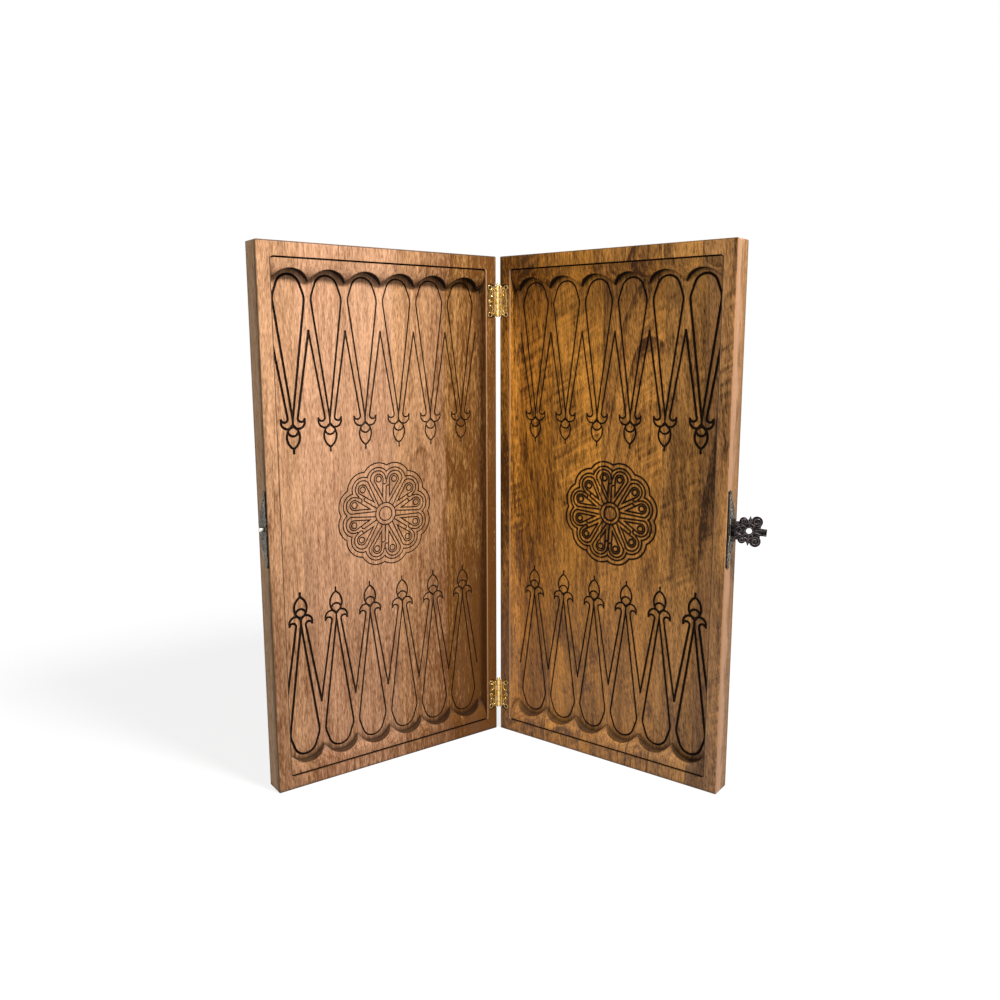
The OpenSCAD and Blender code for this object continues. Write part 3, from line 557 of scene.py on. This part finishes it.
# Ribs of a plate's upper half, from the rim face into the wood and up from the clasp's middle
PLATE_EDGE = [
    scroll(PLATE_MIDDLE, PLATE_R - 1.1, PLATE_R - 1.1, 15, 42),
    [(3.0, 12), (3.0, 17), (3.0, 22), (3.0, 25), (3.0, 28)],
    scroll((4.5, 27), 2.1, 2.1, 0, 360),
    [(3.7, 30), (4.0, 31), (3.9, 32), (3.6, 33), (3.3, 33.6)],
]
PLATE_SCROLLS = [
    scroll((7.6, 16.4), 3.3, 0.6, -120, 400),
    scroll((5.9, 22.4), 2.3, 0.5, 70, 470),
]
plates = (
    (LEFT, "strike_plate", "strike_nails", PLATE_SCROLLS[1:]),
    (RIGHT, "clasp_base_plate", "clasp_base_nails", PLATE_SCROLLS),
)
for side, plate_name, nails_name, scrolls in plates:
    place = half_place(side)
    outward = place.to_3x3() @ Vector((1, 0, 0))
    under_plate = place @ Vector(((PLATE_FACE - PLATE_T) * MM, 0, 0))
    bronze = cast_metal(
        "grey_bronze_" + plate_name, "#2e2a25", "#a79e90", 0.36, under_plate, outward, 1.45, 2.0, 2.3,
    )
    steel = cast_metal(
        "steel_" + nails_name, "#100e0c", "#38322b", 0.45, under_plate, outward, 1.6, 2.1, NO_TOP,
    )
    plate = eased(plate_name, 0.3, bronze)
    face = Matrix(((0, 0, 1, PLATE_FACE * MM), (1, 0, 0, 0), (0, 1, 0, CLASP_Z * MM), (0, 0, 0, 1)))
    raise_ribs(plate, PLATE_EDGE + scrolls, 0.35, place @ face)
    eased(nails_name, 0.2, steel)
    if side == LEFT:
        bright = cast_metal(
            "bright_bronze_stud", "#8d857a", "#e0d8ca", 0.25, under_plate, outward, 1.6, 3, NO_TOP,
        )
        eased("strike_stud", 0.3, bright)

# Ribs of the flap's upper half, out from its hole and up
FLAP_LINES = [
    scroll((0, 0), 3.75, 3.75, 0, 180),
    scroll((-5.4, 8.2), 2.8, 0.6, -70, 420),
    scroll((5.9, 8.7), 4.3, 0.7, -110, 440),
    [(0, 4.4), (0.1, 7), (0, 9.5), (0, 11.5), (0, 13.2)],
    [(2.7, 2.8), (3.6, 4.0), (4.3, 5.4), (4.6, 7.2), (5.2, 8.6)],
    [(-2.7, 2.8), (-3.8, 3.6), (-5.2, 4.4), (-6.6, 5.0), (-7.8, 6.2)],
    [(-2.0, 9.8), (-1.2, 8.0), (0.6, 6.4), (2.6, 5.6), (5.2, 5.2)],
    [(2.2, 10.4), (1.4, 8.6), (-0.6, 7.0), (-2.6, 6.2), (-4.6, 5.8)],
    [(-11.6, 1.2), (-10.2, 2.2), (-8.6, 3.4), (-7.2, 4.0), (-5.8, 3.6)],
    [(-11.4, 4.6), (-10.2, 4.0), (-8.8, 2.6), (-7.6, 1.2), (-6.0, 0.4)],
    [(-11.6, 7.0), (-10.8, 6.4), (-9.8, 5.8), (-8.8, 4.9), (-8.2, 4.0)],
    [(4.3, 0.7), (6.0, 1.2), (7.8, 1.5), (9.4, 1.7), (11.0, 2.0)],
    [(9.3, 5.4), (9.7, 4.4), (9.5, 3.4), (8.5, 3.0), (7.1, 3.4)],
    [(11.2, 2.7), (12.2, 2.7), (13.1, 2.7), (13.9, 2.7), (14.5, 2.4)],
]
place = half_place(RIGHT) @ Matrix.Translation(Vector(CLASP_AXIS) * MM) @ Matrix.Rotation(FLAP_OPEN, 4, "Z")
flap_face = place.to_3x3() @ Vector((1, 0, 0))
black_bronze = cast_metal(
    "black_bronze", "#0e0c0b", "#655c5c", 0.32, place.translation, flap_face, 0.6, 1.05, 1.3,
)
flap = eased("clasp_flap", 0.2, black_bronze)
hole = Matrix.Translation((HOLE_OUT * MM, 0, 0)) @ Matrix.Rotation(FLAP_TILT, 4, "Z")
for face_side in (-1, 1):
    face = Matrix(((0, 0, -1, face_side * FLAP_T / 2 * MM), (-1, 0, 0, 0), (0, 1, 0, 0), (0, 0, 0, 1)))
    raise_ribs(flap, FLAP_LINES, 0.42, place @ face @ hole)
eased("clasp_pin", 0.1, black_bronze)

# Room
# A plain white floor, a lamp high on the right, a weak soft one on the left and dim light all round.
# Lamps: name, place and size in metres, and watts.
LAMPS = (
    ("key", (0.57, -0.57, 1.36), 0.3, 27),
    ("fill", (-0.70, -0.85, 0.70), 0.8, 2.5),
)
LAMP_AIM = (-0.05, 0, 0.34)
FLOOR_SIZE = 8
ROOM_LIGHT = 0.14

# Matt white paint, which looks white to the camera, whitest far from the board, and keeps the shadow
floor_material, tree = new_material("white_floor")
node = partial(add_node, tree)
path = node("LightPath", out=None)
seen = node("Math", path.outputs["Is Camera Ray"], path.outputs["Is Glossy Ray"], **MOST)
seen = node("Math", seen, path.outputs["Is Transmission Ray"], **MOST)
away = node("VectorMath", node("TexCoord", out="Object"), out="Value", operation="LENGTH")
glow = node("MapRange", away, 0.5, 1.4, 0.84, 1.0)
seen_floor = node("AddShader", node("BsdfDiffuse", linear("#7c7c7c")), node("Emission", (1, 1, 1, 1), glow))
lit_floor = node("BsdfDiffuse", linear("#c4c4c4"))
node("OutputMaterial", node("MixShader", seen, lit_floor, seen_floor), out=None)
bpy.ops.object.select_all(action="DESELECT")
bpy.ops.mesh.primitive_plane_add(size=FLOOR_SIZE)
floor = bpy.context.object
floor.name = "floor"
floor.data.materials.append(floor_material)

# The room looks white to the camera and in the metal, and lights the board only dimly
world = bpy.data.worlds.new("white_room")
bpy.context.scene.world = world
world.use_nodes = True
world.node_tree.nodes.clear()
node = partial(add_node, world.node_tree)
path = node("LightPath", out=None)
seen = node("Math", path.outputs["Is Camera Ray"], path.outputs["Is Glossy Ray"], **MOST)
seen = node("Math", seen, path.outputs["Is Transmission Ray"], **MOST)
strength = node("MapRange", seen, 0, 1, ROOM_LIGHT, 1.0)
node("OutputWorld", node("Background", (1, 1, 1, 1), strength), out=None)

for name, spot, size, energy in LAMPS:
    bpy.ops.object.light_add(type="AREA", location=spot)
    lamp = bpy.context.object
    lamp.name = name + "_lamp"
    lamp.data.shape = "DISK"
    lamp.data.size = size
    lamp.data.energy = energy
    lamp.rotation_euler = (lamp.location - Vector(LAMP_AIM)).to_track_quat("Z", "Y").to_euler()

# Camera
# It stands in front of the hinge at four fifths of the board's height, where the photograph was taken.
# Its place is in metres from the foot of the hinge axis, and its turn in degrees.
CAMERA_PLACE = (0.0091, -0.9141, 0.4052)
CAMERA_TURN = (80.518, 0.087, 0.447)
CAMERA_LENS = 31.82
camera_data = bpy.data.cameras.new("camera")
camera_data.lens = CAMERA_LENS
camera_data.sensor_width = 36
camera = bpy.data.objects.new("camera", camera_data)
camera.location = Vector(HINGE_AXIS) + Vector(CAMERA_PLACE)
camera.rotation_euler = [math.radians(angle) for angle in CAMERA_TURN]
bpy.context.scene.collection.objects.link(camera)
bpy.context.scene.camera = camera
bpy.context.scene.view_settings.view_transform = "Standard"
